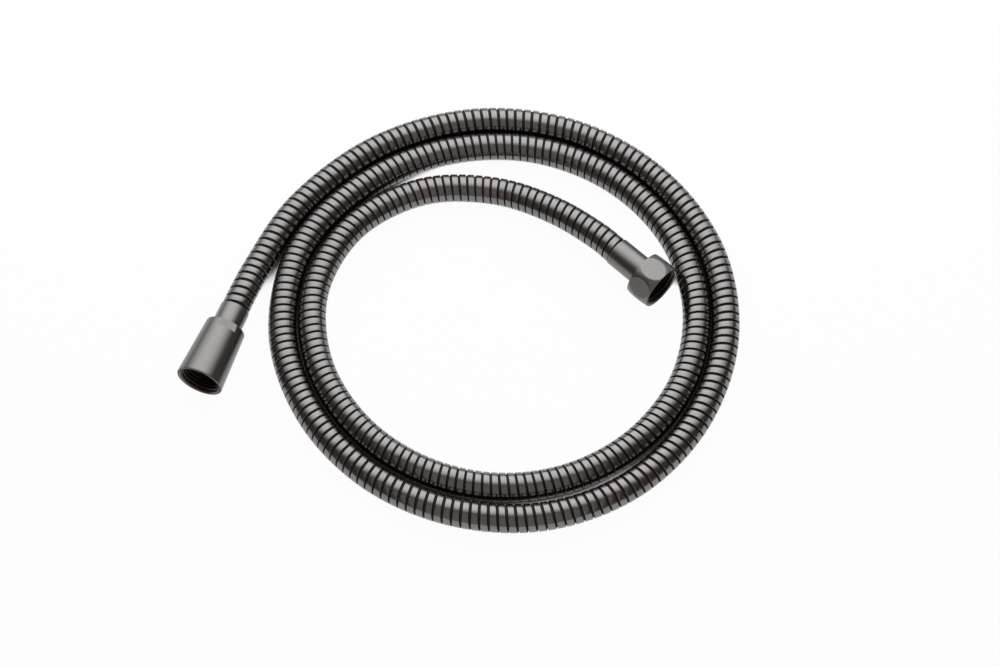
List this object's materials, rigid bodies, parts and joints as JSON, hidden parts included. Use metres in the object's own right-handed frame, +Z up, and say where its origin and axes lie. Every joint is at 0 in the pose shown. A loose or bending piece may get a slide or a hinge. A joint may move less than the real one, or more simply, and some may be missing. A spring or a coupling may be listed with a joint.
{
  "type": "shower hose",
  "caption": "Coiled flexible metal shower hose with a long conical nut for the hand shower and a short hex nut for the wall outlet.",
  "frame": {"origin": "on the floor that the coil lies on, under the middle of its outer box", "axes": "+Z up from the floor; -Y the side that the conical nut's mouth points to, and +X away from that nut"},
  "size_m": [0.2794, 0.2372, 0.0238],
  "materials": {
    "satin_metal": "satin gunmetal",
    "brass": "machined",
    "rubber": "matt",
    "soft_tube": "smooth"
  },
  "bodies": {
    "hose": {"hose_sheath": "satin_metal", "inner_tube": "soft_tube", "cone_end_insert": "brass", "cone_end_ferrule": "satin_metal", "cone_end_crimp_sleeve": "satin_metal", "hex_end_insert": "brass", "hex_end_ferrule": "satin_metal", "hex_end_crimp_sleeve": "satin_metal"},
    "handset_nut": {"cone_nut": "satin_metal", "cone_nut_washer": "rubber"},
    "outlet_nut": {"hex_nut": "satin_metal", "hex_nut_washer": "rubber"}
  },
  "joints": [
    {"name": "cone_nut_spin", "type": "hinge", "parent": "hose", "child": "handset_nut", "pos_m": [-0.1288, -0.0414, 0.01191], "axis": [-0.3481, -0.9361, 0.0511], "continuous": true},
    {"name": "hex_nut_spin", "type": "hinge", "parent": "hose", "child": "outlet_nut", "pos_m": [0.1009, 0.0108, 0.0115], "axis": [0.7254, -0.6884, 0], "continuous": true}
  ]
}
